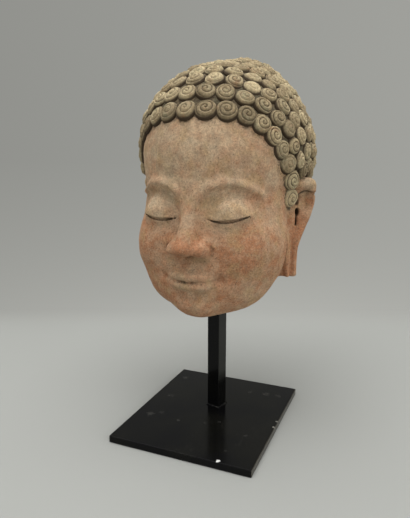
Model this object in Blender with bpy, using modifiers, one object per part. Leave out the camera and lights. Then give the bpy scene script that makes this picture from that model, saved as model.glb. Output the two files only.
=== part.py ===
"""A fired clay Buddha head, broken off above the neck, on a square steel post and a flat steel plate.

Sizes are in millimetres and MM turns them into metres. +Z is up, the face looks along -Y and the head's
left side is at +X. The origin is the middle of the plate's underside. The head is worked out in a frame of
its own, whose origin HEAD_CENTRE lies between the ears.
"""

import math

import bmesh
import bpy
import numpy as np

MM = 0.001
GAP = 0.3

# Stand
PLATE_WIDTH = 127.0
PLATE_DEPTH = 150.0
PLATE_THICKNESS = 6.5
PLATE_BEVEL = 0.8
POST_SIDE = 12.7
POST_TURN = -13.5
POST_BEVEL = 0.6
POST_Y = 14.4
SOCKET_DEPTH = 50.0

# Head, in its own frame
HEAD_CENTRE = (0.0, 39.0, 212.0)
CHIN_Z = -106.0
HAIRLINE_Z = 56.0
THIRD = (HAIRLINE_Z - CHIN_Z) / 3
BROW_Z = HAIRLINE_Z - THIRD
NOSE_Z = BROW_Z - THIRD
EYE_Z = BROW_Z - 0.31 * THIRD
MOUTH_Z = NOSE_Z - 0.34 * THIRD
EYE_X = 30.0
EYE_HALF_WIDTH = 16.0
LOBE_END_Z = -74.7
BREAK_SLOPE = 0.62
BREAK_Y = -48.0
BREAK_Z = -106.0

# Hair: the first row's centres, as degrees round from the front and height
TEMPLE_ROW = ((0, 62), (15, 61.2), (27, 59), (37, 53.2), (45.5, 44.5), (52, 34.5), (58.4, 22.5),
              (64.8, 9), (69, -12))
NAPE_ROW = ((77, 18), (85, 21), (94, 20), (103, 12), (110, 0), (117, -16), (128, -31), (145, -41), (180, -44))
EAR_ANGLE = 72.0
SIDEBURN_Z = 25.0
FURTHER_BACK = 5.0
FRONT_PITCH = 15.8
SIDE_PITCH = 13.1
SIDEBURN_PITCH = 15.9
FRONT_GAP = 15.8
SIDE_GAP = 13.4
ROW_STARTS = (0.69, 0.51, 0.5, 0.42, 0.5)
WIDEST_GAP = 9.9
HAIR_LAYER = 2.2
CURL_HEIGHT = 4.8
SKULL_RADIUS = 84.0

HEAD_SUBDIVISIONS = 7
HEAD_TRIANGLES = 8600
RAY_CENTRE = (0.0, 5.0, -10.0)
FAR_OUT = 150.0


# Distance fields: each takes points, an array whose last axis is x, y, z, and gives a signed distance.

def ellipsoid(points, centre, radii):
    """Distance to an ellipsoid."""
    offset = (points - np.array(centre)) / np.array(radii)
    size = np.linalg.norm(offset, axis=-1)
    steepness = np.linalg.norm(offset / np.array(radii), axis=-1) + 1e-6
    return size * (size - 1) / steepness


def merge(first, second, softness):
    """Both shapes, with a fillet about as wide as softness between them."""
    share = np.clip(0.5 + 0.5 * (second - first) / softness, 0, 1)
    return second + (first - second) * share - softness * share * (1 - share)


def crop(first, second, softness):
    """What the two shapes have in common."""
    return -merge(-first, -second, softness)


def carve(first, second, softness):
    """The first shape without the second."""
    return -merge(-first, second, softness)


def smooth_rows(rows, steps):
    """A Catmull-Rom curve through the rows, with this many steps between each two."""
    rows = np.array(rows, float)
    padded = np.vstack([2 * rows[0] - rows[1], rows, 2 * rows[-1] - rows[-2]])
    curve = []
    for before, start, end, after in zip(padded, padded[1:], padded[2:], padded[3:]):
        for t in np.arange(steps) / steps:
            linear = (end - before) * t
            square = (2 * before - 5 * start + 4 * end - after) * t**2
            cubic = (3 * start - before - 3 * end + after) * t**3
            curve.append(start + 0.5 * (linear + square + cubic))
    return np.array(curve + [rows[-1]])


def tube(points, rows, steps=3):
    """Distance to a tube whose rows give the centre line's x, y, z and the radius there."""
    curve = smooth_rows(rows, steps)
    nearest = np.inf
    for start, end in zip(curve, curve[1:]):
        along = end[:3] - start[:3]
        t = np.clip((points - start[:3]) @ along / (along @ along), 0, 1)
        off_axis = points - start[:3] - t[..., None] * along
        radius = start[3] + (end[3] - start[3]) * t
        nearest = np.minimum(nearest, np.linalg.norm(off_axis, axis=-1) - radius)
    return nearest


def mirrored(points):
    """The points with their right half folded onto the left, so that a feature on the left is on both."""
    folded = points.copy()
    folded[..., 0] = np.abs(folded[..., 0])
    return folded


# The head

def skull(points):
    """The bare head: cranium, low crown knot, face and jaw corners."""
    shape = ellipsoid(points, (0, -1, 28), (72.5, 87.5, 75.3))
    shape = merge(shape, ellipsoid(points, (0, 37, 64), (40, 38, 46)), 26)
    shape = merge(shape, ellipsoid(points, (0, -38, -45), (66, 47, 62)), 24)
    return merge(shape, ellipsoid(mirrored(points), (38, -2, -44), (22, 34, 32)), 18)


def add_masses(points, shape):
    """Cheeks, jaw line, the round of the mouth, and the chin."""
    folded = mirrored(points)
    shape = merge(shape, ellipsoid(folded, (32, -58, -46), (22, 24, 24)), 16)
    shape = merge(shape, ellipsoid(folded, (25, -52, -78), (20, 22, 18)), 16)
    shape = merge(shape, ellipsoid(points, (0, -60, -70), (31, 25, 22)), 14)
    return merge(shape, ellipsoid(points, (0, -66, -91), (18, 18, 13)), 16)


def add_break(points, shape):
    """The broken underside, which rises to the back."""
    plane = BREAK_Z + BREAK_SLOPE * (points[..., 1] - BREAK_Y) - points[..., 2]
    return crop(shape, plane / np.hypot(1, BREAK_SLOPE), 4)


def add_brows(points, shape):
    """Eye hollows under arched brows."""
    folded = mirrored(points)
    hollow = tube(folded, ((14, -97.5, EYE_Z + 4, 9), (29, -95.5, EYE_Z + 5, 10), (44, -83.5, EYE_Z + 3, 6)))
    ridge = tube(folded, ((8, -83, BROW_Z - 6, 1.4), (14, -84.6, BROW_Z + 1, 1.8), (26, -82.2, BROW_Z + 5.5, 1.8),
                          (39, -74.4, BROW_Z + 4.5, 1.5), (51, -62, BROW_Z - 3, 0.8)))
    return merge(carve(shape, hollow, 10), ridge, 6)


def add_eyes(points, shape):
    """Lowered eyes: an upper lid over each eyeball, and a lower lid with a narrow opening between them."""
    folded = mirrored(points)
    across = (folded[..., 0] - EYE_X) / EYE_HALF_WIDTH
    bow = 1 - across**2
    upper_edge = EYE_Z - 4.2 - 1.6 * bow + 1.6 * across
    lower_edge = EYE_Z - 4.6 - 3.8 * bow + 1.6 * across
    centre = (EYE_X - 2, -65.5, EYE_Z - 2.5)
    eyeball = ellipsoid(folded, centre, (17, 17.6, 14.4))
    upper_lid = crop(ellipsoid(folded, centre, (19, 20, 16.6)), upper_edge - folded[..., 2], 1)
    lower_lid = crop(ellipsoid(folded, centre, (18.6, 19.2, 15.6)), folded[..., 2] - lower_edge, 1)
    return merge(merge(merge(shape, eyeball, 3), upper_lid, 3), lower_lid, 5)


def add_nose(points, shape):
    """A straight bridge, a round tip and two wings, cropped level below."""
    folded = mirrored(points)
    nose = tube(points, ((0, -79, BROW_Z, 6.6), (0, -82.5, BROW_Z - 10, 5.8), (0, -88, BROW_Z - 24, 6),
                         (0, -94, NOSE_Z + 15, 7.4), (0, -97, NOSE_Z + 9, 8.2)), 2)
    nose = merge(nose, ellipsoid(folded, (11, -89, NOSE_Z + 7.4), (6.6, 9, 6.8)), 5)
    level = NOSE_Z + 1.5 - points[..., 2] - 0.25 * (points[..., 1] + 88)
    return merge(shape, crop(nose, level, 3.5), 8)


def add_mouth(points, shape):
    """Closed lips with a fold under them."""
    folded = mirrored(points)
    upper = tube(folded, ((22.5, -78.5, MOUTH_Z + 1, 1.2), (14, -84.4, MOUTH_Z + 2.2, 2.8),
                          (5.5, -88.4, MOUTH_Z + 4, 3.6), (0, -88.6, MOUTH_Z + 3, 3.3)))
    lower = tube(folded, ((20, -79, MOUTH_Z - 1.8, 1.6), (12, -84, MOUTH_Z - 4.4, 3.8),
                          (0, -87, MOUTH_Z - 5.8, 4.8)))
    shape = merge(merge(shape, upper, 3.2), lower, 3.8)
    seam = tube(folded, ((24, -81.5, MOUTH_Z + 1.8, 0.7), (15, -88, MOUTH_Z - 0.4, 0.7),
                         (6, -92.4, MOUTH_Z - 0.5, 0.8), (0, -93.2, MOUTH_Z - 1.6, 0.8)))
    shape = carve(shape, seam, 1.8)
    return carve(shape, ellipsoid(points, (0, -94, MOUTH_Z - 14), (18, 9, 4.6)), 8)


def add_ears(points, shape):
    """Ears with long lobes, cut off square, on a flange that faces out and forward."""
    from_ear = mirrored(points) - np.array((72, -10, 0))
    along = from_ear @ np.array((0.6, 0.8, 0))
    out = from_ear @ np.array((0.8, -0.6, 0))
    points = np.stack([along, from_ear[..., 2], out], -1)
    rim = tube(points, ((-13, -1, -2, 3.4), (-9, 4.2, 0.8, 5), (-3, 5.6, 2.2, 5), (4, 6, 2.8, 4.8),
                        (7.4, 2.6, 3, 4.2), (7.8, -4, 2.8, 3.6), (7.6, -14, 2.4, 3.3), (4.2, -24, 2, 3.4),
                        (-0.6, -35, 1.2, 3.8), (-4.8, -45, 0.4, 3.6), (-6.6, -54, 0, 3.4),
                        (-7.4, LOBE_END_Z, 0, 3.4)), 2)
    front = tube(points, ((-16, -20, -5, 3.2), (-16.4, -32, -3, 3.4), (-16.2, LOBE_END_Z, 0, 3.3)), 2)
    body = tube(points, ((-3, 3, -3.5, 8), (0, -8, -4, 9), (-4, -22, -4.5, 9), (-10, -36, -4.5, 8),
                         (-12.5, -50, -3, 6), (-12, LOBE_END_Z, -2.5, 6.5)), 2)
    body = crop(body, np.abs(out + 3.4) - 3.6, 2)
    root = tube(points, ((-5, 2, -11, 8), (-6, -20, -12, 8), (-12, -45, -11, 7), (-13, LOBE_END_Z, -10, 6)), 2)
    ear = merge(merge(merge(rim, body, 4), front, 4), root, 9)
    ear = crop(ear, LOBE_END_Z - points[..., 1], 2)
    return merge(shape, ear, 4)


def head(points):
    """The whole head without its curls."""
    shape = add_masses(points, skull(points))
    for add in (add_break, add_brows, add_nose, add_eyes, add_mouth, add_ears):
        shape = add(points, shape)
    return shape


def outermost(shape_of, directions, centre):
    """Where rays from the centre leave the shape for the last time, found by stepping in from outside."""
    reach = np.full(len(directions), FAR_OUT)
    for _ in range(60):
        reach -= 0.8 * shape_of(centre + directions * reach[:, None])
    return centre + directions * reach[:, None]


# The curls

def further_back(angle):
    """Degrees that the hairline lies further back on the right temple than on the left."""
    return FURTHER_BACK * np.exp(-(((angle - 62) / 17) ** 2))


def around(points):
    """Degrees round from the front, as on the left side: on the right the same hair lies further back."""
    angle = np.degrees(np.arctan2(np.abs(points[..., 0]), -points[..., 1]))
    return angle - np.where(points[..., 0] < 0, further_back(angle), 0)


def pitch(points):
    """Distance from one curl to the next, larger over the forehead and in front of the ears."""
    usual = np.interp(around(points), (17, 30), (FRONT_PITCH, SIDE_PITCH))
    before_ear = (around(points) < EAR_ANGLE) & (points[..., 2] < SIDEBURN_Z)
    return np.where(before_ear, SIDEBURN_PITCH, usual)


def row_gap(points):
    """Distance from one row of curls to the next, larger over the forehead."""
    return np.interp(around(points), (15, 38), (FRONT_GAP, SIDE_GAP))


def hair_edge(angle):
    """Height of the first row's centres at this angle round from the front."""
    return np.where(angle < EAR_ANGLE, np.interp(angle, *zip(*TEMPLE_ROW)), np.interp(angle, *zip(*NAPE_ROW)))


def skull_at(angle, height):
    """The skull's point at this angle round from the front and at this height."""
    axis = np.array((0, 0, height))
    turn = np.radians(angle)
    return outermost(skull, np.array([(np.sin(turn), -np.cos(turn), 0)]), axis)[0]


def at_stops(stops, travelled, line):
    """The line's points at these distances travelled along it."""
    return np.stack([np.interp(stops, travelled, line[:, axis]) for axis in range(3)], -1)


def walk(row, start):
    """Points on the skull a pitch apart along a row, the first of them at the distance start, and the row's line."""
    line = np.array([skull_at(angle, height) for angle, height in smooth_rows(row, 12)])
    travelled = np.append(0, np.cumsum(np.linalg.norm(np.diff(line, axis=0), axis=1)))
    stops = [start]
    while stops[-1] < travelled[-1]:
        stops.append(stops[-1] + float(pitch(at_stops(stops[-1:], travelled, line))[0]))
    return at_stops(stops[:-1], travelled, line), line


def first_row():
    """Centres of the curls along the hairline on both sides, and points along the line itself."""
    right_temple = [(angle + further_back(angle), height) for angle, height in TEMPLE_ROW]
    left_start = ROW_STARTS[0] * FRONT_PITCH
    right_start = (1 - ROW_STARTS[0]) * FRONT_PITCH
    centres, lines = [], []
    for row, start, side in ((TEMPLE_ROW, left_start, 1), (NAPE_ROW, 0, 1),
                             (right_temple, right_start, -1), (NAPE_ROW, 0, -1)):
        stops, line = walk(row, start)
        centres.append(stops * (side, 1, 1))
        lines.append(line * (side, 1, 1))
    return np.concatenate(centres), np.concatenate(lines)


def skull_samples(count=30000):
    """Points spread evenly over the hair's part of the skull along a Fibonacci spiral."""
    index = np.arange(count) + 0.5
    tilt = np.arccos(1 - 2 * index / count)
    turn = np.pi * (1 + 5**0.5) * index
    directions = np.stack([np.cos(turn) * np.sin(tilt), np.sin(turn) * np.sin(tilt), np.cos(tilt)], -1)
    points = outermost(skull, directions, np.array((0.0, 5.0, 15.0)))
    return points[points[:, 2] > hair_edge(around(points))]


def row_depths(samples, line):
    """How many rows each sample lies in from the hairline, measured over the round of the skull."""
    straight = np.min([np.linalg.norm(samples - point, axis=1) for point in line[::3]], axis=0)
    return 2 * SKULL_RADIUS * np.arcsin(np.clip(straight / (2 * SKULL_RADIUS), 0, 1)) / row_gap(samples)


def ring_of_curls(samples, depths, row, pole):
    """Centres evenly spaced round the closed line where the depth equals this row's number."""
    axis = pole / np.linalg.norm(pole)
    front = np.array((0, -1, 0)) + axis * axis[1]
    front /= np.linalg.norm(front)
    side = np.cross(axis, front)
    close = samples[np.abs(depths - row) < 0.13]
    turn = np.arctan2(close @ side, close @ front) % (2 * np.pi)
    bins = 200 if row < 6 else 80
    number = (turn / (2 * np.pi) * bins).astype(int)
    count = np.bincount(number, minlength=bins)
    ring = np.stack([np.bincount(number, close[:, axis_number], bins) for axis_number in range(3)], -1)
    ring = ring[count > 0] / count[count > 0][:, None]
    closed = np.vstack([ring, ring[:1]])
    step = np.linalg.norm(np.diff(closed, axis=0), axis=1) / pitch((closed[1:] + closed[:-1]) / 2)
    travelled = np.append(0, np.cumsum(step))
    curls = max(round(travelled[-1]), 1)
    stops = (np.arange(curls) + ROW_STARTS[row % len(ROW_STARTS)]) * travelled[-1] / curls
    return at_stops(stops, travelled, closed)


def evened(centres, fixed, samples, rounds=4):
    """The centres, all but the first few, moved towards the middle of the ground that is nearest to each."""
    for _ in range(rounds):
        owner = np.concatenate([
            np.argmin(((part[:, None] - centres) ** 2).sum(-1), axis=1) for part in np.array_split(samples, 8)
        ])
        count = np.maximum(np.bincount(owner, minlength=len(centres)), 1)
        total = np.stack([np.bincount(owner, samples[:, axis], len(centres)) for axis in range(3)], -1)
        centres[fixed:] += 0.8 * (total / count[:, None] - centres)[fixed:]
    return centres


def gaps_filled(centres, samples):
    """The centres, with one more in each place where a curl is missing."""
    nearest = np.min([np.linalg.norm(samples - centre, axis=1) for centre in centres], axis=0)
    while nearest.max() > WIDEST_GAP:
        added = samples[nearest.argmax()]
        centres = np.vstack([centres, added])
        nearest = np.minimum(nearest, np.linalg.norm(samples - added, axis=1))
    return centres


def curl_centres():
    """The curls' centres: a row along the hairline, and inside it one row after another up to the crown."""
    outer, line = first_row()
    samples = skull_samples()
    depths = row_depths(samples, line)
    pole = samples[depths > depths.max() - 0.3].mean(0)
    rows = [ring_of_curls(samples, depths, row, pole) for row in range(1, int(depths.max() + 0.45))]
    centres = evened(np.concatenate([outer, *rows, pole[None]]), len(outer), samples[::2])
    centres = gaps_filled(centres, samples[depths > 3])
    return evened(centres, len(outer), samples[::2])


def raise_curls(points, directions):
    """The points pushed out along their rays into a thin layer with one low dome at each curl."""
    centres = curl_centres()
    apart = np.linalg.norm(centres[:, None] - centres[None], axis=2)
    radii = np.sort(apart, axis=1)[:, 1:6].mean(axis=1) / 2
    layer = np.zeros(len(points))
    dome = np.zeros(len(points))
    for centre, radius in zip(centres, radii):
        share = np.linalg.norm(points - centre, axis=1) / radius
        layer = np.maximum(layer, HAIR_LAYER * np.clip(4 * (1.35 - share), 0, 1))
        dome = np.maximum(dome, CURL_HEIGHT * np.sqrt(np.clip(1 - share**4, 0, 1)))
    return points + directions * (layer + dome)[:, None]


# Blender objects

def material(name, colour, roughness, metallic=0.0):
    """A plain Principled material."""
    made = bpy.data.materials.new(name)
    made.use_nodes = True
    shader = made.node_tree.nodes["Principled BSDF"]
    shader.inputs["Base Color"].default_value = (*colour, 1)
    shader.inputs["Roughness"].default_value = roughness
    shader.inputs["Metallic"].default_value = metallic
    return made


def add_object(name, mesh, collection, made_of=None):
    """An object of this mesh in the collection."""
    obj = bpy.data.objects.new(name, mesh)
    collection.objects.link(obj)
    if made_of:
        mesh.materials.append(made_of)
    return obj


def box(name, size, centre, collection, made_of=None, turn=0.0):
    """A box of this size in millimetres, turned about the vertical by this many degrees."""
    mesh = bpy.data.meshes.new(name)
    bm = bmesh.new()
    bmesh.ops.create_cube(bm, size=1)
    bmesh.ops.scale(bm, vec=[side * MM for side in size], verts=bm.verts)
    bm.to_mesh(mesh)
    bm.free()
    obj = add_object(name, mesh, collection, made_of)
    obj.location = [place * MM for place in centre]
    obj.rotation_euler.z = math.radians(turn)
    return obj


def bevel(obj, width):
    """Rounds the object's edges."""
    modifier = obj.modifiers.new("Rounded edges", "BEVEL")
    modifier.width = width * MM
    modifier.segments = 2


def build_head(collection, cutters, clay):
    """A sphere drawn out to the head's form, thinned, with a square socket from below."""
    mesh = bpy.data.meshes.new("clay_head")
    bm = bmesh.new()
    bmesh.ops.create_icosphere(bm, subdivisions=HEAD_SUBDIVISIONS, radius=1)
    bm.to_mesh(mesh)
    bm.free()
    directions = np.empty(len(mesh.vertices) * 3)
    mesh.vertices.foreach_get("co", directions)
    directions = directions.reshape(-1, 3)
    directions /= np.linalg.norm(directions, axis=1, keepdims=True)
    surface = outermost(head, directions, np.array(RAY_CENTRE))
    surface = raise_curls(surface, directions) + np.array(HEAD_CENTRE)
    mesh.vertices.foreach_set("co", (surface * MM).ravel())
    mesh.shade_smooth()
    obj = add_object("clay_head", mesh, collection, clay)
    thin = obj.modifiers.new("Fewer faces", "DECIMATE")
    thin.ratio = HEAD_TRIANGLES / len(mesh.polygons)
    cut_socket(obj, cutters)


def break_height(y):
    """Height of the broken underside at this distance back, both in the object's frame."""
    return HEAD_CENTRE[2] + BREAK_Z + BREAK_SLOPE * (y - HEAD_CENTRE[1] - BREAK_Y)


def socket_top():
    """Height of the end of the socket."""
    return break_height(POST_Y) + SOCKET_DEPTH


def cut_socket(obj, cutters):
    """The blind square hole that the post goes into."""
    side = POST_SIDE + 2 * GAP
    height = SOCKET_DEPTH + 2 * POST_SIDE
    centre = (0, POST_Y, socket_top() - height / 2)
    cutter = box("socket_cutter", (side, side, height), centre, cutters, turn=POST_TURN)
    cutter.hide_render = True
    cutter.display_type = "WIRE"
    hole = obj.modifiers.new("Socket", "BOOLEAN")
    hole.operation = "DIFFERENCE"
    hole.solver = "EXACT"
    hole.object = cutter


def build_stand(collection, steel):
    """The post, turned a little out of square, and the plate that it stands on."""
    plate = box("base_plate", (PLATE_WIDTH, PLATE_DEPTH, PLATE_THICKNESS), (0, 0, PLATE_THICKNESS / 2),
                collection, steel)
    bevel(plate, PLATE_BEVEL)
    foot = PLATE_THICKNESS + GAP
    top = socket_top() - GAP
    post = box("post", (POST_SIDE, POST_SIDE, top - foot), (0, POST_Y, (top + foot) / 2), collection, steel,
               POST_TURN)
    bevel(post, POST_BEVEL)


def new_collection(name):
    """A collection in the scene."""
    collection = bpy.data.collections.new(name)
    bpy.context.scene.collection.children.link(collection)
    return collection


def main():
    for obj in list(bpy.data.objects):
        bpy.data.objects.remove(obj)
    collection = new_collection("clay_buddha_head")
    cutters = new_collection("cutters")
    clay = material("fired_clay", (0.43, 0.30, 0.21), 0.85)
    steel = material("black_painted_steel", (0.012, 0.012, 0.013), 0.35)
    build_head(collection, cutters, clay)
    build_stand(collection, steel)


main()
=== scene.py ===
"""Looks of the fired clay Buddha head on its black steel stand.

The head is worked out in millimetres in a frame of its own: x to its left, y to its back and z up. It is
a distance field that is turned into a mesh and then set in place in metres. The curls are separate spiral
buttons pressed on to it.
"""

import itertools
import math

import bpy
import numpy as np
from mathutils import Matrix, Vector


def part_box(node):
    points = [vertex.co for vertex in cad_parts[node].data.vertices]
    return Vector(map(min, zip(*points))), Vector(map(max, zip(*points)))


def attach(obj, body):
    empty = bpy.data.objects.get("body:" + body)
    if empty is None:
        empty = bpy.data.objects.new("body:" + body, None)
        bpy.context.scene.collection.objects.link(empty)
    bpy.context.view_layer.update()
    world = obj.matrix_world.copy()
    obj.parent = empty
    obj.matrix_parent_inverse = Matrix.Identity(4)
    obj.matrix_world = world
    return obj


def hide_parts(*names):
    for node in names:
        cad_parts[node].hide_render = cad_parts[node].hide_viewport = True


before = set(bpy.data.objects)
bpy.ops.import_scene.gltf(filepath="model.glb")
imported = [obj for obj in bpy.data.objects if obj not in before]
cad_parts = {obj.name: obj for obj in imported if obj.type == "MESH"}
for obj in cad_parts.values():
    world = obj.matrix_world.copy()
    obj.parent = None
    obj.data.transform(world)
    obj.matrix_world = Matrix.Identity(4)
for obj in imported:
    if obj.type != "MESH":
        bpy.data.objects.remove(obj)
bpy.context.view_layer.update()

MM = 0.001
SEED = 11

# The stand and the head over it: corners and centres in metres from the frame, the rest in millimetres
PLATE_LOW, PLATE_HIGH = (np.array(corner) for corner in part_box("base_plate"))
POST_LOW, POST_HIGH = (np.array(corner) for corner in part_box("post"))
POST_SIDE = 12.7
POST_TURN = math.radians(-13.5)
POST_GAP = 0.3
SOCKET_GAP = 0.5
WELD_RADIUS = 1.1
WELD_RIPPLES = 22
WELD_STEPS = 132
WELD_SIDES = 8
HEAD_BEHIND_POST = 24.6
HEAD_ABOVE_POST = 41.792
HEAD_CENTRE = np.array((
    (POST_LOW[0] + POST_HIGH[0]) / 2,
    (POST_LOW[1] + POST_HIGH[1]) / 2 + HEAD_BEHIND_POST * MM,
    POST_HIGH[2] + HEAD_ABOVE_POST * MM,
))

# The head's levels, in its own frame
CHIN_Z = -106.0
HAIRLINE_Z = 56.0
THIRD = (HAIRLINE_Z - CHIN_Z) / 3
BROW_Z = HAIRLINE_Z - THIRD
NOSE_Z = BROW_Z - THIRD
EYE_Z = BROW_Z - 0.31 * THIRD
MOUTH_Z = NOSE_Z - 0.34 * THIRD
EYE_X = 30.0
EYE_HALF_WIDTH = 16.0
LOBE_END_Z = -74.7

# The broken underside: how steeply it rises to the back, a point on it, and the depth and size of its tears
BREAK_SLOPE = 0.62
BREAK_Y = -48.0
BREAK_Z = -106.0
TEARS = ((2.2, 17), (1.8, 6), (1.1, 2.8))

# Hair: the first row of curls, as degrees round from the front and height
TEMPLE_ROW = ((0, 62), (15, 61.2), (27, 59), (37, 53.2), (45.5, 44.5), (52, 34.5), (58.4, 22.5),
              (64.8, 9), (69, -12))
NAPE_ROW = ((77, 18), (85, 21), (94, 20), (103, 12), (110, 0), (117, -16), (128, -31), (145, -41),
            (180, -44))
EAR_ANGLE = 72.0
SIDEBURN_Z = 25.0
FURTHER_BACK = 5.0
FRONT_PITCH = 15.8
SIDE_PITCH = 13.1
SIDEBURN_PITCH = 15.9

# The way over a skull of this radius from row to row, where each row's first curl lies as a share of a
# pitch, and the furthest that a curl's centre may be
SKULL_RADIUS = 84
FRONT_GAP = 15.8
SIDE_GAP = 13.4
ROW_STARTS = (0.69, 0.51, 0.5, 0.42, 0.5)
WIDEST_GAP = 9.9

# How thick the clay under the curls is, by the hairline and further in
EDGE_LAYER = 0.8
HAIR_LAYER = 2.7

# The table of distances to the hairline: over the round of the head at this radius, by these steps
TABLE_RADIUS = 76
TABLE_STEP = 2.0
TABLE_LOW = -90
TABLE_HIGH = 134


# Distance fields

def ellipsoid(points, centre, radii):
    """Distance to an ellipsoid."""
    offset = (points - np.array(centre, np.float32)) / np.array(radii, np.float32)
    size = np.sqrt((offset * offset).sum(-1))
    steepness = np.sqrt(((offset / np.array(radii, np.float32)) ** 2).sum(-1)) + 1e-6
    return size * (size - 1) / steepness


def merge(first, second, softness):
    """Both shapes, with a fillet about as wide as softness between them."""
    share = np.clip(0.5 + 0.5 * (second - first) / softness, 0, 1)
    return second + (first - second) * share - softness * share * (1 - share)


def crop(first, second, softness):
    """What the two shapes have in common."""
    return -merge(-first, -second, softness)


def carve(first, second, softness):
    """The first shape without the second."""
    return -merge(-first, second, softness)


def smooth_rows(rows, steps):
    """A Catmull-Rom curve through the rows, with this many steps between each two."""
    rows = np.array(rows, float)
    padded = np.vstack([2 * rows[0] - rows[1], rows, 2 * rows[-1] - rows[-2]])
    curve = []
    for before, start, end, after in zip(padded, padded[1:], padded[2:], padded[3:]):
        for t in np.arange(steps) / steps:
            linear = (end - before) * t
            square = (2 * before - 5 * start + 4 * end - after) * t**2
            cubic = (3 * start - before - 3 * end + after) * t**3
            curve.append(start + 0.5 * (linear + square + cubic))
    return np.array(curve + [rows[-1]])


def to_segment(points, start, end):
    """Distance to the straight stretch from start to end, and the nearest place on it, from 0 to 1."""
    along = end - start
    t = np.clip((points - start) @ along / (along @ along), 0, 1)
    return np.linalg.norm(points - start - t[..., None] * along, axis=-1), t


def tube(points, rows, steps=3):
    """Distance to a tube whose rows give the centre line's x, y, z and the radius there."""
    curve = smooth_rows(rows, steps).astype(np.float32)
    nearest = np.inf
    for start, end in zip(curve, curve[1:]):
        distance, t = to_segment(points, start[:3], end[:3])
        nearest = np.minimum(nearest, distance - (start[3] + (end[3] - start[3]) * t))
    return nearest


def mirrored(points):
    """The points with their right half folded onto the left, so that a feature on the left is on both."""
    folded = points.copy()
    folded[..., 0] = np.abs(folded[..., 0])
    return folded


def near(points, shape, low, high, add):
    """The shape with a feature added, worked out only inside the box where it matters."""
    inside = np.all((points > np.array(low)) & (points < np.array(high)), axis=-1)
    if not inside.any():
        return shape
    changed = shape.copy()
    changed[inside] = add(points[inside], shape[inside])
    return changed


def looked_up(table, cell, part):
    """The table's values at places that lie this part of the way on from a cell, along each axis."""
    value = 0.0
    for corner in np.ndindex(*(2,) * table.ndim):
        weight = np.prod(np.where(corner, part, 1 - part), axis=-1)
        index = (cell + np.array(corner)) % table.shape
        value = value + weight * table[tuple(np.moveaxis(index, -1, 0))]
    return value


def lumps(points, size, seed):
    """Smooth random values from -1 to 1 that change over this size and repeat after 32 times it."""
    cells = 32
    table = np.random.default_rng(seed).uniform(-1, 1, (cells,) * 3).astype(np.float32)
    place = points / size + cells * 8
    cell = np.floor(place).astype(np.int32)
    part = place - cell
    return looked_up(table, cell, part * part * (3 - 2 * part))


# The head's form

def with_masses(points, shape, rows):
    """The shape with ellipsoids merged in on both sides, each row a centre, radii and softness."""
    folded = mirrored(points)
    for centre, radii, softness in rows:
        shape = merge(shape, ellipsoid(folded, centre, radii), softness)
    return shape


def skull(points):
    """The bare head: cranium, low crown knot, face and jaw corners."""
    cranium = ellipsoid(points, (0, -1, 28), (72.5, 87.5, 75.3))
    return with_masses(points, cranium, (
        ((0, 37, 64), (40, 38, 46), 26),
        ((0, -38, -45), (66, 47, 62), 24),
        ((38, -2, -44), (22, 34, 32), 18),
    ))


def add_masses(points, shape):
    """Cheeks, jaw line, the round of the mouth, and the chin."""
    return with_masses(points, shape, (
        ((32, -58, -46), (22, 24, 24), 16),
        ((25, -52, -78), (20, 22, 18), 16),
        ((0, -60, -70), (31, 25, 22), 14),
        ((0, -66, -91), (18, 18, 13), 16),
    ))


def above_break(points):
    """Height over the plane of the broken underside, which rises to the back."""
    return points[..., 2] - BREAK_Z - BREAK_SLOPE * (points[..., 1] - BREAK_Y)


def add_break(points, shape):
    """The broken underside: a rough tear with the square hole for the post."""
    tear = sum(depth * lumps(points, size, SEED + number) for number, (depth, size) in enumerate(TEARS))
    shape = crop(shape, tear - above_break(points) / np.hypot(1, BREAK_SLOPE), 1)
    side = POST_SIDE / 2 + SOCKET_GAP
    from_post = points[..., :2] + np.array((0, HEAD_BEHIND_POST), np.float32)
    across = from_post @ np.array((math.cos(POST_TURN), math.sin(POST_TURN)), np.float32)
    deep = from_post @ np.array((-math.sin(POST_TURN), math.cos(POST_TURN)), np.float32)
    beside = np.maximum(np.abs(across), np.abs(deep)) - side
    hole = np.maximum(beside, points[..., 2] + HEAD_ABOVE_POST - SOCKET_GAP)
    return carve(shape, hole, 0.8)


def add_brows(points, shape):
    """Eye hollows under arched brows."""
    folded = mirrored(points)
    hollow = tube(folded, ((14, -97.5, EYE_Z + 4, 9), (29, -95.5, EYE_Z + 5, 10),
                           (44, -83.5, EYE_Z + 3, 6)))
    ridge = tube(folded, ((8, -83, BROW_Z - 6, 1.4), (14, -84.6, BROW_Z + 1, 1.8),
                          (26, -82.2, BROW_Z + 5.5, 1.8), (39, -74.4, BROW_Z + 4.5, 1.5),
                          (51, -62, BROW_Z - 3, 0.8)))
    return merge(carve(shape, hollow, 10), ridge, 6)


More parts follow.
